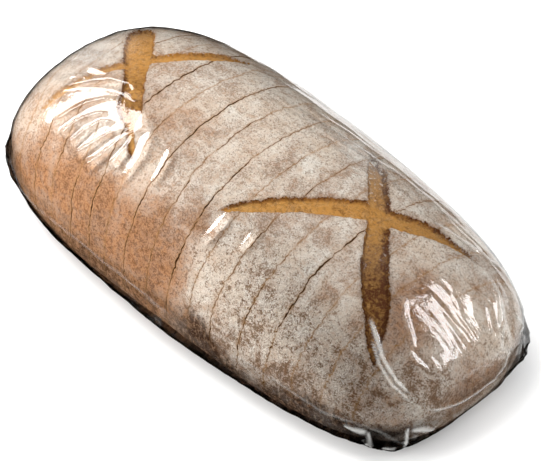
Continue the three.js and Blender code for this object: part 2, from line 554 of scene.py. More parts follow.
    def _bunched(self, points: Array) -> Array:
        """Draws the lower film out to its gathered corners, and says how near each point is to one.

        Args:
            points: N by 3 places, which are moved.

        Returns:
            N shares from 0 to 1.
        """
        near = np.zeros(len(points))
        for bunch in self.bunches:
            away = np.hypot(points[:, 0] - bunch.x * MM, points[:, 1] - bunch.y * MM) / (bunch.spread * MM)
            level = (points[:, 2] - bunch.height * MM) / (bunch.height * MM)
            share = np.exp(-(away**2)) * np.maximum(0.0, 1.0 - level**2)
            way = np.array([bunch.x, bunch.y]) / math.hypot(bunch.x, bunch.y)
            points[:, :2] += way * (bunch.reach * MM * share)[:, None]
            near = np.maximum(near, bunch.crumple * np.exp(-(away**2)) * smooth_step(level, 1.9, 0.7))
        return near

    def skin(self, columns: int, rows: int, along: Array, around: Array) -> tuple[Array, Array, Array]:
        """The film's points and what it is like there.

        Args:
            columns: Faces along the loaf.
            rows: Faces round it.
            along: Each point's share of the way along, row by row.
            around: Each point's share of the way round.

        Returns:
            The points; how white the film is at each, from milky creases and painted glints and sheen; and
            how dark, from layered film and painted shade.
        """
        grain = Grain(23)
        turn = row_turns(around, *self.upper_side)
        x = self.form.station(along - self.closer_ends * np.sin(2.0 * math.pi * along) / (2.0 * math.pi))
        base = self.form.place(x, turn)
        normal = normals_of(base, columns, rows)
        map_x, map_s = on_map(self.form, x, turn)
        spots = base / MM
        wander = grain.at(spots, 22.0, 3)
        height = np.zeros(len(x))
        for group in self.pleats:
            height += group.at(map_x, map_s, wander * 0.8, grain)
        crease_sheen = np.zeros(len(x))
        flat = np.stack([map_x, map_s + wander * 0.8], axis=1)
        for ridge in self.ridges:
            raised, stands = ridge.at(flat, spots)
            height += raised
            crease_sheen = np.maximum(crease_sheen, ridge.cloud_sheen * stands)
        for haze in self.haze_sheens:
            crease_sheen += haze.at(map_x, map_s)
        points = base.copy()
        bunched = self._bunched(points)
        under = smooth_step(base[:, 2], 6 * MM, 1.0 * MM)
        loose = smooth_step(-np.cos(turn), -0.25, 0.3) * (1 - under)
        ends = smooth_step(np.abs(x), 104 * MM, 130 * MM)
        crumple = grain.at(spots, 16.0, 3, ridged=True) - 0.5
        at_ends, at_loose, at_bunches = self.crumples
        stirred = at_ends * ends + at_loose * loose + at_bunches * bunched
        height += crumple * stirred * (1 - 0.9 * under)
        height += grain.at(spots + 40.0, 34.0, 2) * self.wave * (1 - under)
        points += normal * (height * (1 - 0.9 * under))[:, None]
        points[:, 2] = np.maximum(points[:, 2], self.lowest)
        # Painted glints on the crests of the gathered corners' crumples.
        crease_sheen = np.clip(crease_sheen + 0.55 * bunched * smooth_step(crumple, 0.33, 0.46), 0, 1)
        # smoke: darker film where loose and gathered, partly layered film and partly painted shade and dark
        # reflection
        return points, crease_sheen, np.clip(0.12 * loose + 1.1 * bunched, 0, 1)


def joining(operation: str, turned: bool = False) -> Callable[["Link", "Link | float"], "Link"]:
    """Makes an operator for sockets.

    Args:
        operation: What its Math node does.
        turned: True where the other value comes first.

    Returns:
        A method that joins a socket and another value.
    """

    def join(own: "Link", other: "Link | float") -> "Link":
        """Adds the node."""
        return own._math(operation, *((other, own) if turned else (own, other)))

    return join


class Link:
    """A shader socket that takes part in Python expressions."""

    def __init__(self, tree: "Tree", socket: bpy.types.NodeSocket) -> None:
        """Wraps an output socket of a material's tree."""
        self.tree = tree
        self.socket = socket

    def _math(self, operation: str, *values: "Link | float") -> "Link":
        """Adds a Math node on the given values."""
        inputs = dict(enumerate(values))
        return self.tree.node("ShaderNodeMath", {"operation": operation}, inputs)["Value"]

    __add__, __radd__ = joining("ADD"), joining("ADD", turned=True)
    __sub__, __rsub__ = joining("SUBTRACT"), joining("SUBTRACT", turned=True)
    __mul__, __rmul__ = joining("MULTIPLY"), joining("MULTIPLY", turned=True)
    __pow__ = joining("POWER")

    def abs(self) -> "Link":
        """The value without its sign."""
        return self._math("ABSOLUTE", self)

    def clamped(self) -> "Link":
        """The value held between 0 and 1."""
        return self.eased(0.0, 1.0, smooth=False)

    def eased(self, low: float, high: float, smooth: bool = True) -> "Link":
        """The value led from 0 at low to 1 at high, and held there.

        Args:
            low: Where the result is 0.
            high: Where it is 1.
            smooth: False for an even slope.

        Returns:
            The value from 0 to 1.
        """
        settings = {"interpolation_type": "SMOOTHSTEP" if smooth else "LINEAR"}
        inputs = {"Value": self, "From Min": low, "From Max": high}
        return self.tree.node("ShaderNodeMapRange", settings, inputs)["Result"]


class Tree:
    """A material's node tree, built by expressions."""

    def __init__(self, name: str) -> None:
        """Starts an empty material.

        Args:
            name: The material's name.
        """
        self.material = bpy.data.materials.new(name)
        self.material.use_nodes = True
        self.nodes = self.material.node_tree.nodes
        self.links = self.material.node_tree.links
        self.nodes.clear()

    def node(self, kind: str, settings: dict | None = None, inputs: dict | None = None) -> dict[str, Link]:
        """Adds any node.

        Args:
            kind: The node's type.
            settings: Its settings, set first.
            inputs: Values or links of its sockets, by name or number.

        Returns:
            Its enabled output sockets by name.
        """
        node = self.nodes.new(kind)
        for key, value in (settings or {}).items():
            setattr(node, key, value)
        for key, value in (inputs or {}).items():
            named = [s for s in node.inputs if s.enabled and s.name == key]
            socket = named[0] if named else node.inputs[key]
            if isinstance(value, Link):
                self.links.new(value.socket, socket)
            elif isinstance(value, tuple) and socket.type == "RGBA":
                socket.default_value = (*value, 1.0)
            else:
                socket.default_value = value
        return {s.name: Link(self, s) for s in node.outputs if s.enabled}

    def place(self, stretch: tuple[float, float, float] = (1.0, 1.0, 1.0)) -> Link:
        """Object coordinates, stretched so that a pattern runs longer along some axes.

        Args:
            stretch: How much longer the pattern is along each axis.

        Returns:
            The coordinates.
        """
        place = self.node("ShaderNodeTexCoord")["Object"]
        inputs = {"Vector": place, "Scale": tuple(1.0 / s for s in stretch)}
        return self.node("ShaderNodeMapping", None, inputs)["Vector"]

    def stored(self, name: str) -> Link:
        """A number stored on the mesh's points."""
        return self.node("ShaderNodeAttribute", {"attribute_name": name})["Fac"]

    def noise(
        self, place: Link, size: float, detail: float = 2.0, rough: float = 0.5, warp: float = 0.0
    ) -> Link:
        """Noise with bumps about size metres apart, 0 to 1.

        Args:
            place: Coordinates.
            size: The distance between bumps.
            detail: Finer layers.
            rough: How strong they are.
            warp: How far the pattern is distorted.

        Returns:
            A value from 0 to 1.
        """
        inputs = {"Vector": place, "Scale": 1.0 / size}
        inputs |= {"Detail": detail, "Roughness": rough, "Distortion": warp}
        return self.node("ShaderNodeTexNoise", None, inputs)["Fac"]

    def cells(self, place: Link, size: float) -> Link:
        """The distance pattern of cells about size metres wide."""
        return self.node("ShaderNodeTexVoronoi", None, {"Vector": place, "Scale": 1.0 / size})["Distance"]

    def granules(self, place: Link, size: float) -> Link:
        """Grains about size metres wide, each with its own value from 0 to 1.

        Args:
            place: Coordinates.
            size: How wide a grain is.

        Returns:
            A value from 0 to 1.
        """
        inputs = {"Vector": place, "Scale": 1.0 / size}
        shade = self.node("ShaderNodeTexVoronoi", None, inputs)["Color"]
        return self.node("ShaderNodeSeparateColor", None, {"Color": shade})["Red"]

    def mix(self, share: Link | float, first: Link | tuple, second: Link | tuple, blend: str = "MIX") -> Link:
        """Two colours mixed by share."""
        settings = {"data_type": "RGBA", "blend_type": blend}
        return self.node("ShaderNodeMix", settings, {"Factor": share, "A": first, "B": second})["Result"]

    def bump(self, height: Link, distance: float, strength: float = 1.0) -> Link:
        """A normal bent by a height field."""
        inputs = {"Height": height, "Distance": distance, "Strength": strength}
        return self.node("ShaderNodeBump", None, inputs)["Normal"]

    def show(self, shader: Link) -> bpy.types.Material:
        """Ends the tree in a surface shader and returns the material."""
        self.node("ShaderNodeOutputMaterial", None, {"Surface": shader})
        return self.material

    def show_solid(self, inputs: dict) -> bpy.types.Material:
        """Ends the tree in a solid surface with these inputs and returns the material."""
        return self.show(self.node("ShaderNodeBsdfPrincipled", None, inputs)["BSDF"])


@dataclass(frozen=True)
class CrustFinish:
    """Baked crust, from orange and brown to near black at the foot, dusted with flour, with painted shade in
    its pores, grain and cracks.
    """

    bare: Colour = (0.45, 0.285, 0.18)
    warm: Colour = (0.52, 0.285, 0.145)
    brown: Colour = (0.30, 0.155, 0.08)
    burnt: Colour = (0.12, 0.068, 0.042)
    flour: Colour = (0.90, 0.875, 0.82)
    rosy_flour: Colour = (0.76, 0.665, 0.565)
    tan_flour: Colour = (0.58, 0.44, 0.34)
    # pore_shade is painted shade, multiplied into the colour in the pores, the fine grain and the cracks
    pore_shade: Colour = (0.38, 0.28, 0.205)
    split: Colour = (0.66, 0.355, 0.095)
    split_pale: Colour = (0.84, 0.55, 0.24)
    split_dark: Colour = (0.125, 0.043, 0.014)
    cut: Colour = (0.45, 0.25, 0.10)
    granule: float = 0.52 * MM
    noises: tuple[tuple[float, ...], ...] = (  # size in millimetres, detail, roughness and warp
        (24, 3.0, 0.5, 0.4), (9, 4.0, 0.6, 0.8), (4.5, 3.0, 0.6, 1.4), (1.9, 3.0, 0.65, 0.5),
        (0.8, 2.0, 0.7), (1.4, 2.0, 0.6, 0.8), (1.7, 3.0, 0.7, 0.9),
    )
    name: str = "floured_crust"

    def material(self) -> bpy.types.Material:
        """Builds the crust's material.

        Returns:
            The material.
        """
        tree = Tree(self.name)
        place = tree.place()
        flour, warm, baked, speck = (tree.stored(n) for n in ("flour", "warm", "baked", "speck"))
        score, tone, veil, edge = (tree.stored(n) for n in ("score", "tone", "veil", "edge"))
        broad, blotch, tint, fine, grit, lines, grain = (
            tree.noise(place, size * MM, *kind) - 0.5 for size, *kind in self.noises
        )
        pepper = tree.granules(place, self.granule) - 0.5
        streak = tree.noise(tree.place((1.0, 3.5, 4.5)), 2.2 * MM, 4.0, 0.65, 0.5) - 0.5

        skin = tree.mix((warm + broad * 2.2 + tint * 1.4).clamped(), self.bare, self.warm)
        browned = (0.24 + blotch * 2.2 + streak * 1.8 + fine * 2.6 + pepper * 0.3).clamped()
        skin = tree.mix(browned, skin, self.brown)
        scorched = (baked + (streak * 3.6 + blotch * 2.0 + fine * 4.0 + pepper * 0.8) * baked).clamped()
        skin = tree.mix(scorched, skin, self.burnt)

        rosy = (0.45 + broad * 2.2 + tint * 1.6 - blotch * 1.2).clamped()
        dust = tree.mix(rosy, self.flour, self.rosy_flour)
        dust = tree.mix(((warm - 0.1) * 1.3 + tint * 1.5 * warm).clamped(), dust, self.tan_flour)
        dusted = (fine * 1.8 + pepper * 0.35) * (0.25 + flour * 0.9)
        cover = (flour + broad * 1.2 + blotch * 1.9 + dusted).clamped()
        surface = tree.mix(cover * (1.0 - scorched * 0.7), skin, dust)
        # Painted shade of the pores and fine grain, multiplied in with pore_shade; then dark crack lines,
        # partly darker crust and partly painted shade.
        mottle = (blotch * 4.4 + tint * 3.0 + broad * 2.4) * (0.2 + speck) + speck * 0.16
        depth = 0.40 + flour * 0.30 + speck * 0.33 + warm * 0.15
        shade = (0.28 + pepper * 0.7 + grit * 5.0 + fine * 3.4 - mottle).clamped()
        surface = tree.mix(shade * depth, surface, self.pore_shade, "MULTIPLY")
        crackle = (0.75 * speck - 0.05 + fine * 1.6 + blotch * 1.2 - lines.abs() * 9.0).clamped()
        surface = tree.mix(crackle, surface, self.pore_shade, "MULTIPLY")

        dark = (grain * 2.4 + tint * 1.8 + blotch * 1.4 + 0.05).clamped()
        pale = (tint * 2.4 - grain * 1.0 + pepper * 0.2 + 0.08).clamped() * 0.8
        # The score's tone mixes in split_dark: darker baked parts along the arm, and painted shade on one
        # wall and along the groove's edges.
        toned = (tone * 0.92 + (grain * 1.7 + tint * 1.3) * (tone + 0.2)).clamped()
        split = tree.mix(dark, self.split, self.split_dark)
        split = tree.mix(pale, split, self.split_pale)
        split = tree.mix(toned, split, self.split_dark)
        flecks = (veil + fine * 2.2 + tint * 2.2 - 0.42).eased(0.0, 0.35) * (veil * 6.0).clamped()
        split = tree.mix((flecks * 0.8 + veil * 0.4).clamped(), split, dust)
        ragged = (score + fine * 1.4 + pepper * 0.3 + tint * 0.8).eased(0.4, 0.6)
        surface = tree.mix(ragged, surface, split)
        fringe = edge * (1.0 - score) * (1.0 - baked) * (0.9 + fine * 4.0 + pepper * 0.5).clamped()
        surface = tree.mix(fringe, surface, self.cut)

        height = cover * 0.35 + grit * 1.6 + fine * 1.2 - shade * 0.35 - crackle * 0.5 + grain * score
        inputs = {
            "Base Color": surface,
            "Roughness": (0.9 - score * 0.25).clamped(),
            "Normal": tree.bump(height, 0.5 * MM, 0.9),
            "Specular IOR Level": 0.25,
        }
        return tree.show_solid(inputs)


@dataclass(frozen=True)
class CrumbFinish:
    """Soft open crumb on the cut faces, brown, with painted shade in its holes and painted shade of the gaps
    between slices near the crust.
    """

    crumb: Colour = (0.60, 0.44, 0.27)
    pore_shade: Colour = (0.36, 0.23, 0.12)
    # rim: painted shade of the gap between slices, on the crumb next to the crust
    rim: Colour = (0.16, 0.07, 0.028)
    name: str = "open_crumb"

    def material(self) -> bpy.types.Material:
        """Builds the crumb's material.

        Returns:
            The material.
        """
        tree = Tree(self.name)
        place = tree.place()
        pores = tree.cells(place, 3.2 * MM).eased(0.15, 0.55)
        grain = tree.noise(place, 1.2 * MM, 3.0)
        # The crumb's holes get painted shade (pore_shade), and the crumb next to the crust, by its edge
        # value, the painted shade of the gap between slices (rim).
        colour = tree.mix((pores * 0.7 + grain * 0.5).clamped(), self.pore_shade, self.crumb)
        colour = tree.mix(tree.stored("edge").clamped(), colour, self.rim)
        inputs = {
            "Base Color": colour,
            "Roughness": 0.95,
            "Normal": tree.bump(pores + grain * 0.4, 0.7 * MM),
            "Specular IOR Level": 0.2,
        }
        return tree.show_solid(inputs)


@dataclass(frozen=True)
class FilmFinish:
    """Thin clear glossy film. It whitens where it is creased or gathered, partly as milky film and partly as
    painted glints and sheen, and darkens at its outline and where it is loose or gathered, partly as layered
    film and partly as painted shade and dark reflection.
    """

    clear: Colour = (0.985, 0.985, 0.985)
    gloss: Colour = (1.0, 1.0, 1.0)
    # cloud: white of milky creased film, also used for painted glints and sheen
    cloud_sheen: Colour = (0.78, 0.78, 0.76)
    # The colour of darkened film: layered film, painted shade and painted dark reflection.
    smoke_shade: Colour = (0.035, 0.035, 0.04)
    roughness: float = 0.08
    index: float = 1.6
    name: str = "clear_film"

    def material(self) -> bpy.types.Material:
        """Builds the film's material.

        Returns:
            The material.
        """
        tree = Tree(self.name)
        place = tree.place()
        crease_sheen, smoke_shade = tree.stored("crease_sheen"), tree.stored("smoke_shade")
        ripple = tree.noise(place, 4.0 * MM, 3.0, 0.55, 0.8)
        normal = tree.bump(ripple, 0.2 * MM, 0.6)
        clear = tree.node("ShaderNodeBsdfTransparent", None, {"Color": self.clear})["BSDF"]
        clouds = {"Color": self.cloud_sheen, "Roughness": 0.6}
        cloud_sheen = tree.node("ShaderNodeBsdfDiffuse", None, clouds)["BSDF"]
        dark = tree.node("ShaderNodeBsdfTransparent", None, {"Color": self.smoke_shade})["BSDF"]
        mirror = {"Color": self.gloss, "Roughness": self.roughness, "Normal": normal}
        gloss = tree.node("ShaderNodeBsdfGlossy", None, mirror)["BSDF"]
        facing = tree.node("ShaderNodeLayerWeight", None, {"Blend": 0.5, "Normal": normal})["Facing"]
        fresnel = tree.node("ShaderNodeFresnel", None, {"IOR": self.index, "Normal": normal})["Fac"]
        # Darker where loose or gathered: partly layered film, partly painted shade seen through it.
        body = self._mixed(tree, (smoke_shade * 0.75).clamped(), clear, dark)
        # Whiter where creased: partly milky film, partly painted glints and sheen.
        body = self._mixed(tree, (crease_sheen * 0.8).clamped(), body, cloud_sheen)
        body = self._mixed(tree, (fresnel * 1.2).clamped(), body, gloss)
        # Painted dark reflection along the film's outline, stronger where the film is loose or gathered.
        rim = (facing**14.0 * 0.22 + facing**3.0 * smoke_shade * 0.6).clamped()
        return tree.show(self._mixed(tree, rim, body, dark))

    @staticmethod
    def _mixed(tree: Tree, share: Link, first: Link, second: Link) -> Link:
        """Two shaders mixed by share."""
        return tree.node("ShaderNodeMixShader", None, {0: share, 1: first, 2: second})["Shader"]


def store(mesh: bpy.types.Mesh, name: str, values: Array) -> None:
    """Stores one number for each of the mesh's points.

    Args:
        mesh: The mesh.
        name: The attribute's name.
        values: A number for each point.
    """
    layer = mesh.attributes.new(name, "FLOAT", "POINT")
    layer.data.foreach_set("value", values.astype(np.float32))


def grid_mesh(name: str, columns: int, rows: int) -> tuple[bpy.types.Mesh, Array, Array]:
    """A flat grid to be wrapped round the loaf.

    Args:
        name: The mesh's name.
        columns: Faces along the first direction.
        rows: Faces along the second.

    Returns:
        The mesh and each point's place on the grid, both from 0 to 1.
    """
    bm = bmesh.new()
    bmesh.ops.create_grid(bm, x_segments=columns, y_segments=rows, size=0.5)
    mesh = bpy.data.meshes.new(name)
    bm.to_mesh(mesh)
    bm.free()
    flat = np.empty(len(mesh.vertices) * 3, np.float32)
    mesh.vertices.foreach_get("co", flat)
    flat = flat.reshape(-1, 3).astype(float) + 0.5
    return mesh, flat[:, 0], flat[:, 1]


def smooth_faces(bm: bmesh.types.BMesh) -> None:
    """Makes all faces shade smoothly."""
    for face in bm.faces:
        face.smooth = True


def joined(mesh: bpy.types.Mesh) -> bmesh.types.BMesh:
    """A wrapped grid to be worked on, smooth, with its seam and poles joined.

    Args:
        mesh: The wrapped grid.

    Returns:
        A copy of it that can be worked on.
    """
    bm = bmesh.new()
    bm.from_mesh(mesh)
    bmesh.ops.remove_doubles(bm, verts=bm.verts, dist=WELD)
    smooth_faces(bm)
    return bm


def finish_mesh(bm: bmesh.types.BMesh, mesh: bpy.types.Mesh) -> None:
    """Turns the faces outwards and writes them to the mesh.

    Args:
        bm: The worked copy, which is freed.
        mesh: The mesh that it ends in.
    """
    bmesh.ops.recalc_face_normals(bm, faces=bm.faces)
    bm.to_mesh(mesh)
    bm.free()


def put_object(mesh: bpy.types.Mesh) -> bpy.types.Object:
    """Links a mesh into the scene as an object of the same name.

    Args:
        mesh: The mesh.

    Returns:
        The object.
    """
    piece = bpy.data.objects.new(mesh.name, mesh)
    bpy.context.scene.collection.objects.link(piece)
    return piece


def put_piece(mesh: bpy.types.Mesh) -> bpy.types.Object:
    """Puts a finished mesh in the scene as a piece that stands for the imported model.

    Args:
        mesh: The piece's mesh.

    Returns:
        The piece.
    """
    piece = put_object(mesh)
    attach(piece, BODY)
    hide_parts(CAD_NODE)
    log.info("%s: %d faces", piece.name, len(mesh.polygons))
    return piece


@dataclass(frozen=True)
class Cut:
    """A slicer's cut, in millimetres: its lean on the near flank, and its gape from the crown down."""

    lean: float
    low_lean: float
    gape: tuple[float, float, float]

    def station(self, turn: Array) -> Array:
        """How far the cut has leant towards +X at angles about the long axis."""
        return (self.lean * smooth_step(-turn, 0.3, 1.0) + self.low_lean * smooth_step(-turn, 0.95, 1.6)) * MM

    def gape_at(self, turn: Array) -> Array:
        """How wide the cut gapes at angles about the long axis."""
        return np.interp(-turn, (-0.9, -0.2, 0.35, 1.1, 2.2), (0.1, *self.gape, 0.15)) * MM


@dataclass
class SlicedLoaf:
    """The loaf as its slices, which keep the whole's shape."""

    form: LoafForm
    pitch: float = 15.0 * MM
    first_cut: float = -116.5 * MM
    cuts: tuple[Cut, ...] = tuple(
        Cut(*row)
        for row in (
            (11.0, 4.0, (0.2, 0.2, 0.3)), (11.0, 4.0, (0.3, 0.3, 0.5)), (9.5, 4.0, (0.4, 0.5, 0.8)),
            (9.0, 4.0, (0.4, 0.5, 0.8)), (7.5, 4.0, (0.5, 0.65, 0.7)), (4.0, 3.0, (0.5, 0.65, 0.5)),
            (2.2, 2.5, (0.45, 0.6, 0.5)), (2.3, 1.5, (0.5, 0.7, 0.6)), (1.8, 0.0, (0.45, 0.8, 1.0)),
            (0.0, 0.0, (0.35, 0.65, 0.5)), (-1.5, 0.0, (0.2, 0.55, 0.6)), (0.0, 0.0, (0.12, 0.35, 0.8)),
            (1.3, 0.0, (0.3, 1.2, 1.3)), (1.0, 0.0, (0.12, 0.15, 0.15)), (1.0, 0.0, (0.1, 0.1, 0.12)),
            (1.0, 0.0, (0.1, 0.1, 0.12)),
        )
    )
    around: int = 400
    heel_columns: int = 90
    cell: float = 0.6 * MM
    # How far each crumb ring is drawn in, and how much painted shade of the gap between slices it gets
    crumb_rings: tuple[tuple[float, float], ...] = ((0.985, 1.0), (0.94, 0.2), (0.6, 0.0))
    crumb_middle: float = 0.42
    unevenness: float = 0.8 * MM
    roughness: float = 0.22 * MM
    crack_depth: float = 0.22 * MM
    chip_depth: float = 0.22 * MM
    chip_reach: float = 0.42 * MM
    slip: float = 0.1 * MM  # how far the slices stand out of line
    ragged: float = 0.9 * MM  # how unevenly the crust has torn along a score
    lip: float = 0.35 * MM
    upper_side: tuple[float, float] = (0.74, 0.58)
    flour_patches: tuple[Patch, ...] = patches(
        (-20, 30, 90, 22, 0.22), (-104, -68, 16, 6, 0.35), (-120, -64, 16, 18, 0.4), (16, -69, 14, 7, 0.35),
        (95, 25, 22, 14, 0.2), (114, -4, 15, 17, -0.6), (123, -26, 14, 13, -0.5), (126, 18, 14, 12, -0.2),
        (-45, -18, 26, 16, -0.16), (5, -52, 9, 12, -0.3), (55, -12, 22, 10, -0.12), (50, -62, 40, 16, 0.22),
        (-120, -44, 26, 24, -0.05), (-90, -80, 26, 12, -0.25), (-96, -28, 12, 14, -0.2),
        (140, -34, 12, 10, 0.25), (148, 18, 7, 14, 0.3), (136, -30, 10, 16, 0.3), (140, -48, 14, 8, -0.4),
        (150, -2, 7, 10, -0.2), (151, -15, 6, 10, 0.3), (125, -60, 16, 14, 0.1), (62, -66, 26, 12, 0.12),
    )
    warm_patches: tuple[Patch, ...] = patches(
        (-45, -18, 24, 16, 0.35), (-112, -46, 34, 28, 0.42), (-84, -14, 22, 20, 0.22),
        (123, -26, 14, 13, 0.25), (128, -60, 10, 10, 0.4), (150, 0, 8, 12, 0.5), (-20, -85, 40, 16, 0.2),
        (-20, -56, 44, 12, 0.3), (114, -8, 16, 20, 0.4),
    )
    baked_patches: tuple[Patch, ...] = patches((-88, -58, 5, 8, 0.08))
    speck_patches: tuple[Patch, ...] = patches(
        (112, -2, 18, 18, 0.35), (140, -22, 16, 14, 0.6), (120, -40, 18, 14, 0.4), (20, -5, 14, 14, 0.2),
    )
    scorch_line: tuple[tuple[float, ...], ...] = (
        (24, 33, 40, 46, 60, 77, 88, 100, 124), (-94, -95, -104, -112, -112, -101, -93, -83, -75),
    )
    scores: tuple[Score, ...] = ()
    crust: CrustFinish = CrustFinish()
    crumb: CrumbFinish = CrumbFinish()
    materials: list[bpy.types.Material] = field(default_factory=list)

    def __post_init__(self) -> None:
        """Draws the noise and the rows' angles."""
        self.grain = Grain(11)
        self.rng = np.random.default_rng(5)
        self.turns = row_turns(np.linspace(0.0, 1.0, self.around + 1), *self.upper_side)

    def _edge(self, index: int, side: float) -> Array:
        """The stations of a slice's edge at a cut, for each row, side being the way to that slice.

        Args:
            index: The cut's number from the far end.
            side: The way to the slice, 1 or -1 along X.

        Returns:
            A station for each row.
        """
        cut, turn = self.cuts[index], self.turns
        spots = np.stack([np.full(len(turn), index * 7.0), np.sin(turn) * 6.0, np.cos(turn) * 6.0], axis=1)
        ripple = self.grain.at(spots, 1.6, 2) * 1.0 + self.grain.at(spots, 0.42, 3) * 0.7
        ripple += self.grain.at(spots + 11.0, 0.2) * 0.6
        station = self.first_cut + self.pitch * index + cut.station(turn) + ripple * MM
        loose = 0.85 + 1.2 * self.grain.at(spots + 31.0, 1.2) + 1.1 * self.grain.at(spots + 7.0, 0.3, 2)
        inside = self._score_relief(self.form.place(station, turn))["score"]
        gape = cut.gape_at(turn) * np.clip(loose, 0.08, 1.6) * (1.0 - smooth_step(inside, 0.1, 0.6)) * 0.5
        fray = self.grain.at(spots * 5.0 + side * 9.0, 1.0, 2) * 0.3 * MM
        return station + side * (gape / 2.0 + fray * smooth_step(gape, 0.1 * MM, 0.5 * MM) + 0.01 * MM)

    def _stations(self, index: int, share: Array, low: Array, high: Array) -> Array:
        """Stations of a slice's points between its two edges, share being how far each is along.

        Args:
            index: The slice's number.
            share: Shares of the way between its edges.
            low: The far edge's stations.
            high: The near edge's.

        Returns:
            Stations.
        """
        if index in (0, len(self.cuts)):
            start, finish = self.form.share_of(low), self.form.share_of(high)
            return self.form.station(start + (finish - start) * share)
        return low + (high - low) * share

    def _score_relief(self, points: Array) -> dict[str, Array]:
        """The scores' height, mask, tone with painted shade, and flour at places on the crust.

        Args:
            points: N by 3 places.

        Returns:
            Values by name.
        """
        x, y = points[:, 0], points[:, 1]
        top = points[:, 2] > self.form.widest_height + 6 * MM
        wobble = self.grain.at(points / MM, 5.0, 3) + 0.5 * self.grain.at(points / MM, 1.9, 2)
        height, mask, tone, veil = (np.zeros(len(x)) for _ in range(4))
        for arm in self.scores:
            share, side, half = arm.measure(x, y)
            torn = self.ragged / half
            away = np.abs(side) + wobble * torn
            inside = smooth_step(away, 1.0 + torn, 1.0 - torn) * top
            floor = smooth_step(away, 1.05, 0.72)
            lip = np.exp(-(((away - 1.18) / 0.16) ** 2)) * top
            dug = -arm.depth * floor * (1.0 - 0.35 * (1.0 - np.minimum(1.0, np.abs(side)) ** 2))
            height = np.where(inside > 0, np.minimum(height, dug), height) + lip * self.lip * (inside <= 0)
            # Painted shade: one wall of the groove darker, and the whole groove darker towards its edges,
            # added to the tone along the arm.
            shade = smooth_step(side * arm.shaded_side + wobble * 0.3, arm.shade_from, arm.shade_from + 0.3)
            here = np.interp(share, np.linspace(0.0, 1.0, len(arm.tones)), arm.tones) + 0.6 * shade
            here += 0.3 * smooth_step(away, 0.7, 1.0)
            dusty = np.interp(share, np.linspace(0.0, 1.0, len(arm.veils)), arm.veils)
            tone = np.where(inside > mask, here, tone)
            veil = np.where(inside > mask, dusty, veil)
            mask = np.maximum(mask, inside)
        return {"height": height, "score": mask, "tone": np.clip(tone, 0.0, 1.0), "veil": veil}

    def _map_values(self, x: Array, s: Array) -> dict[str, Array]:
        """What the crust is like at places on its map, in map units: flour, warmth, baking, specks.

        Args:
            x: Places along the loaf.
            s: Places round it.

        Returns:
            Values by name.
        """
        bare_flank = smooth_step(s, -50, -74) * smooth_step(x, 26, 2)
        near_foot = smooth_step(s - np.interp(x, *self.scorch_line), 5, -6) * smooth_step(x, 10, 27)
        foot = smooth_step(np.abs(s), 98, 114)
        flour = 0.8 - 0.62 * bare_flank - 0.5 * near_foot - 0.4 * foot
        warm = 0.1 + 0.75 * bare_flank
        baked = np.maximum(near_foot * 0.92, foot * (1 - 0.6 * bare_flank))
        speck = 0.2 + 0.7 * smooth_step(x, -10, 60) * smooth_step(s, -20, -62)
        made = {}
        for name, values, added in (
            ("flour", flour, self.flour_patches),
            ("warm", warm, self.warm_patches),
            ("baked", baked, self.baked_patches),
            ("speck", speck, self.speck_patches),
        ):
            made[name] = np.clip(sum((patch.at(x, s) for patch in added), values), 0, 1)
        return made

    def _slice(self, index: int) -> bpy.types.Object:
        """Builds one slice.

        Args:
            index: Its number from the far end.

        Returns:
            The slice's object, its crust first and its crumb second among its materials.
        """
        last = len(self.cuts)
        columns = self.heel_columns if index in (0, last) else round(self.pitch / self.cell)
        mesh, share, rows = grid_mesh(f"slice_{index + 1:02d}", columns, self.around)
        turn = row_turns(rows, *self.upper_side)
        row = np.rint(rows * self.around).astype(np.int64)
        a = self.form.half_length
        low = self._edge(index - 1, 1.0)[row] if index > 0 else np.full(len(row), -a)
        high = self._edge(index, -1.0)[row] if index < last else np.full(len(row), a)
        x = self._stations(index, share, low, high)
        base = self.form.place(x, turn)
        normal = normals_of(base, columns, self.around)
        map_x, map_s = on_map(self.form, x, turn)
        relief = self._score_relief(base)
        height, mask = relief.pop("height"), relief["score"]
        values = self._map_values(map_x, map_s)

        spots = base / MM
        swell = self.grain.at(spots, 46.0, 2) * self.unevenness
        rough = self.grain.at(spots, 3.4, 3) * self.roughness
        cracks = self.grain.at(spots + 50.0, 2.6, 2, ridged=True) ** 4 * -self.crack_depth * values["speck"]
        to_cut = np.minimum(x - low + (index == 0), high - x + (index == last))
        chipped = 0.5 + 0.9 * np.abs(self.grain.at(spots + 80.0, 1.6, 2))
        edge = np.exp(-to_cut / self.chip_reach) * chipped * (1.0 - mask)
        under = smooth_step(base[:, 2], 3 * MM, 0.5 * MM)
        offset = swell * (1 - under) + (rough + cracks) * (1 - mask * 0.4) + height - edge * self.chip_depth
        offset = offset * (1 - 0.85 * under)
        points = base + normal * offset[:, None]
        shift = self.rng.normal(size=2) * self.slip
        points[:, 1] += shift[0] * (1 - under)
        points[:, 2] = np.maximum(self.form.foot, points[:, 2] + shift[1] * (1 - under))
        mesh.vertices.foreach_set("co", points.astype(np.float32).ravel())
        values |= relief | {"edge": np.clip(edge, 0, 1)}
        for name, value in values.items():
            store(mesh, name, value)
        self._close(mesh)
        for finish in self.materials:
            mesh.materials.append(finish)
        return put_piece(mesh)

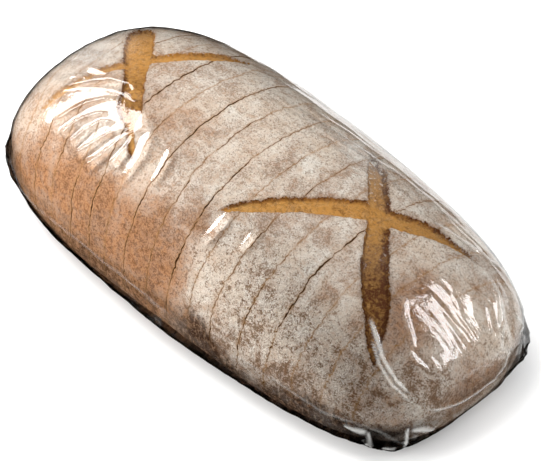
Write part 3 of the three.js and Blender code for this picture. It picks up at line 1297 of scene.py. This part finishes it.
    def _close(self, mesh: bpy.types.Mesh) -> None:
        """Joins the crust's seam and adds the crumb: rings, each drawn in and darkened by painted shade of
        the gap between slices, round a flat face.

        Args:
            mesh: The slice's mesh.
        """
        bm = joined(mesh)
        rims = [e for e in bm.edges if e.is_boundary]
        for edge in rims:
            edge.smooth = False
        middle = self.form.middle_height * self.crumb_middle
        edge_shade = bm.verts.layers.float["edge"]
        for draw, dark in self.crumb_rings:
            made = bmesh.ops.extrude_edge_only(bm, edges=rims)["geom"]
            verts = [g for g in made if isinstance(g, bmesh.types.BMVert)]
            for vert in verts:
                vert.co.y *= draw
                vert.co.z = middle + (vert.co.z - middle) * draw
                vert[edge_shade] = dark
            for face in (g for g in made if isinstance(g, bmesh.types.BMFace)):
                face.material_index = 1
            rims = [e for e in bm.edges if e.is_boundary]
        filled = bmesh.ops.holes_fill(bm, edges=rims, sides=0)["faces"]
        for face in filled:
            face.material_index = 1
        bmesh.ops.triangulate(bm, faces=filled)
        finish_mesh(bm, mesh)

    def build(self) -> list[bpy.types.Object]:
        """Builds all the slices and hands them to the frame."""
        self.materials = [self.crust.material(), self.crumb.material()]
        return [self._slice(index) for index in range(len(self.cuts) + 1)]


@dataclass
class FilmBag:
    """The sealed bag: one closed skin of clear film, and its folds under the loaf."""

    shape: FilmShape
    columns: int = 320
    rows: int = 300
    finish: FilmFinish = FilmFinish()

    def build(self) -> bpy.types.Object:
        """Builds the bag and hands it to the frame.

        Returns:
            The bag.
        """
        mesh, along, around = grid_mesh("film_bag", self.columns, self.rows)
        points, crease_sheen, smoke_shade = self.shape.skin(self.columns, self.rows, along, around)
        mesh.vertices.foreach_set("co", points.astype(np.float32).ravel())
        store(mesh, "crease_sheen", crease_sheen)
        store(mesh, "smoke_shade", smoke_shade)
        finish_mesh(joined(mesh), mesh)
        film = self.finish.material()
        mesh.materials.append(film)
        UnderFold("film_seam", (-0.09, 0.09), (5 * MM, 5 * MM), 2.0, 0.22 * MM, film).build()
        UnderFold("film_fold_far", (-0.088, -0.06), (26 * MM, 11 * MM), 7.0, 0.14 * MM, film).build()
        UnderFold("film_fold_near", (0.06, 0.088), (11 * MM, 26 * MM), 7.0, 0.14 * MM, film).build()
        return put_piece(mesh)


@dataclass
class UnderFold:
    """A flat fold of film pressed under the loaf: its name, its place on the floor and its pleats."""

    name: str
    x: tuple[float, float]
    half_width: tuple[float, float]
    pleats: float
    level: float
    film: bpy.types.Material
    thickness: float = 0.05 * MM
    columns: int = 60
    rows: int = 36

    def build(self) -> bpy.types.Object:
        """Builds the fold and hands it to the frame.

        Returns:
            The fold.
        """
        bm = bmesh.new()
        bmesh.ops.create_grid(bm, x_segments=self.columns, y_segments=self.rows, size=1.0)
        grain = Grain(31)
        flat = np.array([v.co for v in bm.verts])
        wander = grain.at(flat * 3.0 + self.x[0] * 50.0, 1.0, 3)
        share = (flat[:, 0] + 1.0) / 2.0
        half = self.half_width[0] + (self.half_width[1] - self.half_width[0]) * share
        pleat = np.sin(flat[:, 1] * self.pleats * math.pi + wander * 2.0)
        frayed = wander * 0.5 * MM * (np.abs(flat[:, 1]) < 1)
        flat[:, 0] = self.x[0] + (self.x[1] - self.x[0]) * share + frayed
        flat[:, 1] = flat[:, 1] * half + wander * 0.6 * MM
        flat[:, 2] = self.level + 0.06 * MM * pleat
        for vert, place in zip(bm.verts, flat):
            vert.co = place
        bmesh.ops.solidify(bm, geom=list(bm.faces), thickness=self.thickness)
        smooth_faces(bm)
        mesh = bpy.data.meshes.new(self.name)
        finish_mesh(bm, mesh)
        # Whiter along the fold crests: milky film and painted glints.
        fold = np.tile(np.abs(pleat) ** 14, 2)
        store(mesh, "crease_sheen", 0.01 + 0.2 * fold)
        store(mesh, "smoke_shade", np.zeros(len(mesh.vertices)))
        mesh.materials.append(self.film)
        return put_piece(mesh)


CREAM = (1.0, 0.99, 0.97)
COOL = (0.97, 0.97, 1.0)
LAMP_AIM = Vector((0.0, 0.0, 0.04))  # all softboxes face this place in the loaf


class Role(Enum):
    """What a softbox is for: it lights matt surfaces, or glossy ones mirror it."""

    LIGHTS = "lights"
    MIRRORED = "mirrored"


@dataclass(frozen=True)
class Softbox:
    """A rectangular light: its place round the loaf in degrees and metres, its size and its brightness."""

    name: str
    azimuth: float
    elevation: float
    distance: float
    size: tuple[float, float]
    radiance: float
    role: Role
    colour: Colour = (1.0, 1.0, 1.0)
    roll: float = 0.0


@dataclass
class Studio:
    """The camera at the photograph's angle, soft lights and a pale floor.

    Angles are in degrees. The camera's focal length and its shifts are in pixels of the photograph.
    """

    azimuth: float = 45.52
    elevation: float = 46.2
    distance: float = 2483 * UNIT
    focal_pixels: float = 4868.0
    aim_height: float = 45 * UNIT
    shift_right: float = 9.38
    shift_up: float = -21.70
    sensor: float = 36.0
    surround: float = 1.2
    softboxes: tuple[Softbox, ...] = (
        Softbox("key", -64, 66, 1.6, (1.0, 1.0), 6.2, Role.LIGHTS, CREAM),
        Softbox("front", -28, 24, 1.6, (1.0, 0.8), 11.2, Role.LIGHTS, CREAM),
        Softbox("fill", 110, 46, 1.8, (1.0, 1.0), 2.3, Role.LIGHTS),
        Softbox("mirrored_left", -79, 28, 1.5, (0.7, 0.86), 9.5, Role.MIRRORED, roll=50),
        Softbox("mirrored_back", 130, 38, 1.5, (1.05, 0.42), 9.5, Role.MIRRORED, COOL, 60),
    )

    @staticmethod
    def _back(azimuth: float, elevation: float) -> Vector:
        """The unit vector from the object towards a place at these angles, in degrees."""
        a, e = math.radians(azimuth), math.radians(elevation)
        return Vector((math.sin(a) * math.cos(e), -math.cos(a) * math.cos(e), math.sin(e)))

    def camera(self) -> bpy.types.Object:
        """Makes the camera and sets it as the scene's.

        Returns:
            The camera.
        """
        back = self._back(self.azimuth, self.elevation)
        right = Vector((math.cos(math.radians(self.azimuth)), math.sin(math.radians(self.azimuth)), 0.0))
        up = back.cross(right)
        scale = self.distance / self.focal_pixels
        aim = Vector((0, 0, self.aim_height)) + (right * self.shift_right + up * self.shift_up) * scale
        data = bpy.data.cameras.new("camera")
        data.sensor_width = self.sensor
        data.lens = self.focal_pixels / IMAGE_WIDTH * self.sensor
        data.clip_start, data.clip_end = 0.05, 20.0
        camera = bpy.data.objects.new("camera", data)
        bpy.context.scene.collection.objects.link(camera)
        camera.location = aim + back * self.distance
        camera.rotation_mode = "QUATERNION"
        camera.rotation_quaternion = (-back).to_track_quat("-Z", "Y")
        bpy.context.scene.camera = camera
        return camera

    def _hang(self, box: Softbox) -> bpy.types.Object:
        """Hangs a softbox so that it faces the loaf.

        Args:
            box: The softbox.

        Returns:
            The light.
        """
        data = bpy.data.lights.new(box.name, "AREA")
        data.shape = "RECTANGLE"
        data.size, data.size_y = box.size
        data.energy = box.radiance * box.size[0] * box.size[1] * math.pi
        data.color = box.colour
        light = bpy.data.objects.new(box.name, data)
        bpy.context.scene.collection.objects.link(light)
        back = self._back(box.azimuth, box.elevation)
        light.location = LAMP_AIM + back * box.distance
        light.rotation_mode = "QUATERNION"
        turned = (-back).to_track_quat("-Z", "Y") @ Quaternion((0.0, 0.0, 1.0), math.radians(box.roll))
        light.rotation_quaternion = turned
        light.visible_diffuse = box.role is Role.LIGHTS
        light.visible_glossy = box.role is Role.MIRRORED
        light.visible_camera = False
        return light

    def lights(self) -> None:
        """Soft light from all round, which nothing mirrors, and the softboxes."""
        world = bpy.data.worlds.new("soft_surround")
        world.use_nodes = True
        shade = world.node_tree.nodes["Background"].inputs
        shade["Color"].default_value = (1.0, 1.0, 1.0, 1.0)
        shade["Strength"].default_value = self.surround
        world.cycles_visibility.glossy = False
        bpy.context.scene.world = world
        for box in self.softboxes:
            self._hang(box)

    @staticmethod
    def _sheet(name: str, half_size: float, centre: tuple[float, ...], tone: float) -> bpy.types.Object:
        """A flat square of pale card or paper at the floor's level, staged.

        Args:
            name: Its name.
            half_size: Half its side.
            centre: Where its middle lies.
            tone: How pale it is.

        Returns:
            The sheet.
        """
        bm = bmesh.new()
        bmesh.ops.create_grid(bm, x_segments=1, y_segments=1, size=half_size)
        bmesh.ops.translate(bm, verts=bm.verts, vec=centre)
        mesh = bpy.data.meshes.new(name)
        bm.to_mesh(mesh)
        bm.free()
        tree = Tree(f"pale_{name}")
        grain = tree.noise(tree.place(), 0.4, 3.0)
        colour = tree.mix(grain, (tone,) * 3, (tone + 0.04,) * 3)
        inputs = {"Base Color": colour, "Roughness": 0.8}
        mesh.materials.append(tree.show_solid(inputs))
        sheet = put_object(mesh)
        return sheet

    def floor(self) -> None:
        """A wide pale floor, and a card behind the loaf that only the film mirrors."""
        self._sheet("floor", 4.0, (0.0, 0.0, 0.0), 0.80).visible_glossy = False
        card = self._sheet("card", 0.2, (0.07, 0.26, 0.0005), 0.66)
        card.visible_camera = card.visible_diffuse = card.visible_shadow = card.visible_transmission = False

    def build(self) -> None:
        """Sets up the camera, the lights, the floor and plain colour handling."""
        self.camera()
        self.lights()
        self.floor()
        bpy.context.scene.view_settings.view_transform = "Standard"


SCORES = (
    Score(
        (
            (9, -37, 0.8), (15, -31, 3.5), (21, -26, 5.5), (29.5, -17.5, 7.8), (38, -9, 8.2),
            (47.5, 0.5, 10.3), (55, 8.5, 11), (67.5, 17, 9.5), (73, 23, 11), (78.5, 28, 9),
            (85.5, 31.5, 5.5), (93, 35.5, 3.5), (101, 37.5, 1),
        ),
        tones=(0.15, 0.05, 0.05, 0.1, 0.3, 0.4),
    ),
    Score(
        (
            (31, 39, 1), (35, 35.5, 4.5), (41, 32, 9.5), (50, 23.5, 9.2), (59, 15.5, 10.3), (68, 5, 10.5),
            (75, -3, 12), (81.5, -10.5, 12.5), (88.5, -16.5, 13), (95, -22.5, 10.8), (100, -29, 8),
            (103.5, -33, 5.5), (107, -36, 1.5),
        ),
        tones=(0.5, 0.45, 0.2, 0.2, 0.6, 0.9, 0.8, 0.7),
        veils=(0.35, 0.3, 0.1, 0.0, 0.12, 0.0, 0.0, 0.0),
        shade_from=0.35,
    ),
    Score(
        (
            (-107, 28, 9), (-103, 24, 13), (-97, 17.5, 13.8), (-89, 9, 13.9), (-83, 3, 13.5), (-78, -2, 12),
            (-74, -7, 9.5), (-70, -12, 10.4), (-66.5, -16.5, 11.3), (-63, -20.5, 12.2), (-59, -24, 12),
            (-56.5, -26.5, 9), (-53.5, -29.5, 3.5), (-49, -34, 3), (-44, -37.5, 3.2), (-41, -40, 0.8),
        ),
        tones=(0.2, 0.05, 0.08, 0.2, 0.55, 0.5, 0.35, 0.5),
        shaded_side=-1.0,
    ),
    Score(
        (
            (-46, 43, 0.8), (-49.5, 39, 3.5), (-57.5, 30.5, 7), (-65, 20.5, 7.4), (-70, 14.5, 7.5),
            (-76.5, 7.3, 7), (-82, 0, 6.5), (-87, -6, 5.8), (-91, -10, 5), (-94, -15.5, 4.4), (-97, -21, 4.7),
            (-99.5, -25, 5), (-101.5, -30, 5.5), (-103, -35, 4.5), (-104, -40, 1),
        ),
        depth=2.4 * MM,
        tones=(0.0, 0.0, 0.1, 0.2, 0.2),
        veils=(0.0, 0.0, 0.0, 0.0, 0.05, 0.3, 0.6),
    ),
)


def main() -> None:
    """Builds the studio, the loaf and the bag, and reports them."""
    logging.basicConfig(level=logging.INFO, format="%(name)s %(message)s")
    Studio().build()
    bag_form = LoafForm()
    loaf = SlicedLoaf(bag_form.drawn_in(0.9 * MM, 3.0, 0.6 * MM), scores=SCORES)
    loaf.build()
    FilmBag(FilmShape(bag_form)).build()


if __name__ == "__main__":
    main()
